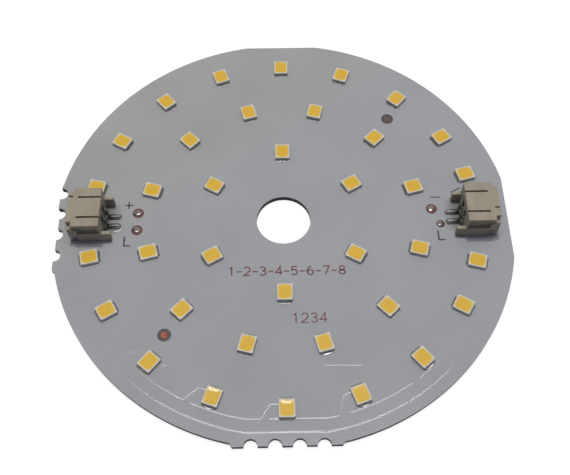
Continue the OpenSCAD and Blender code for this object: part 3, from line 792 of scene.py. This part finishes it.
mounds = np.stack((mound(foot_x, -foot_y), mound(foot_x, foot_y)))
tab_fillets = np.stack((tab_fillet(-1), tab_fillet(1)))
joint = np.concatenate((mounds.reshape(-1, 3), tab_fillets.reshape(-1, 3)))
mound_n, tab_n = mounds[0, ..., 0].size, tab_fillets[0, ..., 0].size
joint_faces = repeated(capped(*mounds.shape[1:3], False), 2, mound_n)
joint_faces += shifted(capped(*tab_fillets.shape[1:3], False), 2 * mound_n)
joint_faces += shifted(capped(*tab_fillets.shape[1:3], True), 2 * mound_n + tab_n)
for side, turn in (("left", -1), ("right", 1)):
    placed = np.c_[turn * (header_x + joint[:, 0]), turn * joint[:, 1] + header_y, joint[:, 2] + coat_top]
    piece(
        side + "_header_joints", placed, joint_faces, dark_solder, [side + "_header_solder"],
        smooth=45,
    )

# Each wire pad has a low drop of bright solder, flat on top, where a wire can be joined by hand. On the
# three larger pads it has drawn up a little behind the middle, to the left.
drop_h, small_drop_r, large_drop_r, drawn_off = 0.18, 0.6, 0.7, -0.09 + 0.06j
solder, shader, place = finish("solder", {"Metallic": 1.0})
ripple = place.grain(0.5, 2)
ripple.band(0.3, 0.7).blend(srgb(150, 147, 140), srgb(184, 180, 173)).into(shader, "Base Color")
(0.2 + 0.14 * ripple).into(shader, "Roughness")
ripple.relief(0.012, 0.3).into(shader, "Normal")


def button(at, radius, phase):
    """Drop on an uneven foot: its height falls with the cube of the share of the way out to the foot."""
    share = np.array((0.02, 0.25, 0.45, 0.62, 0.78, 0.9, 0.97, 1.0))[:, None]
    height = drop_h * (1 - share**3)
    turn = np.radians(np.arange(0, 360, 10.0))
    foot = radius * (1 + 0.04 * np.cos(2 * turn + phase) + 0.03 * np.cos(3 * turn - phase))
    flat = at + foot * share * np.exp(1j * turn)
    return np.stack((flat.real, flat.imag, copper_top + height + 0 * turn), -1)


for number, (node, (at, pad_r)) in enumerate(pads.items()):
    drop_at, drop_r = (at, small_drop_r) if pad_r < 1 else (at + drawn_off, large_drop_r)
    drop = button(drop_at, drop_r, number * 1.7)
    faces = capped(*drop.shape[:2], True)
    piece(node + "_button", drop.reshape(-1, 3), faces, solder, [node], smooth=60)

# Terminal marks, a slanting line behind the right header and plain numbers are openings in the coat, drawn
# with one narrow stroke. Through them the copper shows, red at the numbers and dull near the headers.
number_half, small_half, mark_half, letter_half = 0.15, 0.12, 0.15, 0.17
stroke_low, stroke_high = -0.004, 0.006


def bow(x, y, rx, ry, first, last):
    """Points along part of an ellipse."""
    turn = np.radians(np.linspace(first, last, 12))
    return x + rx * np.cos(turn) + 1j * (y + ry * np.sin(turn))


glyphs = {
    "1": [np.array((0.12 + 0.78j, 0.38 + 1j, 0.38 + 0j))],
    "2": [np.r_[bow(0.33, 0.69, 0.31, 0.31, 165, -38), 0.0 + 0j, 0.68 + 0j]],
    "3": [np.r_[bow(0.3, 0.76, 0.28, 0.24, 150, -80), bow(0.32, 0.27, 0.32, 0.27, 85, -150)]],
    "4": [np.array((0.5 + 0j, 0.5 + 1j, 0 + 0.3j, 0.7 + 0.3j))],
    "5": [np.r_[0.6 + 1j, 0.1 + 1j, 0.05 + 0.56j, bow(0.3, 0.32, 0.33, 0.32, 125, -150)]],
    "6": [np.r_[bow(0.5, 0.34, 0.5, 0.66, 95, 180), bow(0.33, 0.3, 0.33, 0.3, 180, 530)]],
    "7": [np.array((0 + 1j, 0.66 + 1j, 0.24 + 0j))],
    "8": [bow(0.33, 0.76, 0.27, 0.24, -90, 268), bow(0.33, 0.26, 0.33, 0.26, 90, 448)],
    "-": [np.array((0.05 + 0.45j, 0.62 + 0.45j))],
    "+": [np.array((0 + 0.5j, 1 + 0.5j)), np.array((0.5 + 0j, 0.5 + 1j))],
    "L": [np.array((0 + 1j, 0 + 0j, 0.6 + 0j))],
}


def stroke(path, half):
    """Shallow crowned section carried along a path, closed at both ends."""
    flat = np.stack([beside(path, half * way) for way in (-1, -0.7, 0.7, 1)], -1)
    rise = np.array((stroke_low, stroke_high, stroke_high, stroke_low))
    height = np.broadcast_to(coat_top + rise, flat.shape)
    return np.stack((flat.real, flat.imag, height), -1)


def drawn_marks(name, strokes, half, material):
    """All strokes of a mark as one piece."""
    points, faces, start = [], [], 0
    for path in strokes:
        made = stroke(path, half)
        faces += shifted(capped(*made.shape[:2], True), start)
        points.append(made.reshape(-1, 3))
        start += len(points[-1])
    piece(name, np.concatenate(points), faces, material, [])


def line_of(text, at, height, pitch):
    """The strokes of a line of signs, each a pitch further on from where the line begins."""
    return [at + k * pitch + height * path for k, letter in enumerate(text) for path in glyphs[letter]]


red, shader, place = finish("open_copper", {"Roughness": 0.5, "Metallic": 0.1})
place.grain(0.6, 2).band(0.3, 0.7).blend(srgb(98, 57, 56), srgb(122, 73, 71)).into(shader, "Base Color")
dark, shader, place = finish("dull_copper", {"Roughness": 0.5, "Metallic": 0.1})
place.grain(0.6, 2).band(0.3, 0.7).blend(srgb(66, 54, 59), srgb(84, 69, 74)).into(shader, "Base Color")
drawn_marks("number_row", line_of("1-2-3-4-5-6-7-8", -10.1 - 11.4j, 1.65, 1.42), number_half, red)
drawn_marks("number_group", line_of("1234", 1.2 - 20.65j, 1.75, 1.62), small_half, red)
drawn_marks("mark_plus", line_of("+", -29.7 + 2.84j, 1.6, 0), mark_half, dark)
drawn_marks("mark_minus", [np.array((27.7 + 4.45j, 29.5 + 4.45j))], mark_half, dark)
drawn_marks("mark_line_left", line_of("L", -29.25 - 5.0j, 1.95, 0), letter_half, dark)
drawn_marks("mark_line_right", line_of("L", 28.4 - 4.7j, 1.95, 0), letter_half, dark)
drawn_marks("mark_slant_right", [np.array((31.62 + 5.45j, 33.55 + 6.45j))], mark_half, dark)

# The stage is a plain pale floor and backdrop, a dim room that is lighter behind the board, and two lamps
# above it: a small one that throws the shadows to the front and a strip that shows in glossy faces.
floor_half, floor_z = 3, -2e-5
floor_mesh = bpy.data.meshes.new("floor")
corners = [(x * floor_half, y * floor_half, floor_z) for x, y in ((-1, -1), (1, -1), (1, 1), (-1, 1))]
floor_mesh.from_pydata(corners, [], [(0, 1, 2, 3)])
floor = bpy.data.objects.new("floor", floor_mesh)
bpy.context.scene.collection.objects.link(floor)
paper, shader, place = finish("paper", {
    "Base Color": (0.2, 0.2, 0.2, 1), "Roughness": 0.9, "Specular IOR Level": 0.0, "Emission Strength": 1.0,
})


def seen_ray(start):
    """1 on a ray that sees something, straight, in a mirror or through glass, and 0 on one that lights."""
    ray = start.node("ShaderNodeLightPath", {}, {}, out="Is Camera Ray")
    outputs = ray.socket.node.outputs
    glossy, clear = (Tone(ray.tree, outputs[key]) for key in ("Is Glossy Ray", "Is Transmission Ray"))
    return ray.math("MAXIMUM", ray.math("MAXIMUM", ray, glossy), clear)


seen_ray(place).blend((0, 0, 0, 1), (0.86, 0.86, 0.86, 1)).into(shader, "Emission Color")
floor_mesh.materials.append(paper)

room = bpy.data.worlds.new("room")
room.use_nodes = True
sky = room.node_tree.nodes["Background"]
toward = Tone(room.node_tree, room.node_tree.nodes.new("ShaderNodeTexCoord").outputs["Generated"])
back, up = toward.axes("YZ")
backdrop = seen_ray(toward) * (1 - up.band(0.1, 0.3))
air = back.band(-0.3, 0.3).blend((0.8, 0.86, 1.2, 1), (0.95, 0.97, 1, 1))
level = 0.21 + 0.31 * back.band(-0.1, 0.8) + 0.12 * (0 - back).band(0.4, 0.9)
backdrop.blend(air, (1, 1, 1, 1)).into(sky, "Color")
(level + backdrop * (1 - level)).into(sky, "Strength")
bpy.context.scene.world = room


def lamp(name, at, wide, deep, level, shown):
    """Oval lamp, level from side to side, aimed at the board's middle, where white renders at its level."""
    light = bpy.data.lights.new(name, "AREA")
    light.shape, light.size, light.size_y = "ELLIPSE", wide, deep
    light.energy, light.color = level * np.pi**2 * (at**2).sum(), (1.0, 0.99, 0.955)
    made = bpy.data.objects.new(name, light)
    made.location, made.visible_glossy = at, shown
    up = at / np.sqrt((at**2).sum())
    over = np.cross((0, 1, 0), up)
    over /= np.sqrt((over**2).sum())
    made.rotation_euler = Matrix(np.stack((over, np.cross(up, over), up), -1).tolist()).to_euler()
    bpy.context.scene.collection.objects.link(made)


lamp("small_lamp", np.array((-0.025, 0.137, 0.603)), 0.042, 0.042, 0.47, False)
lamp("strip_lamp", np.array((0.02, 0.068, 0.6)), 0.51, 0.055, 0.29, True)
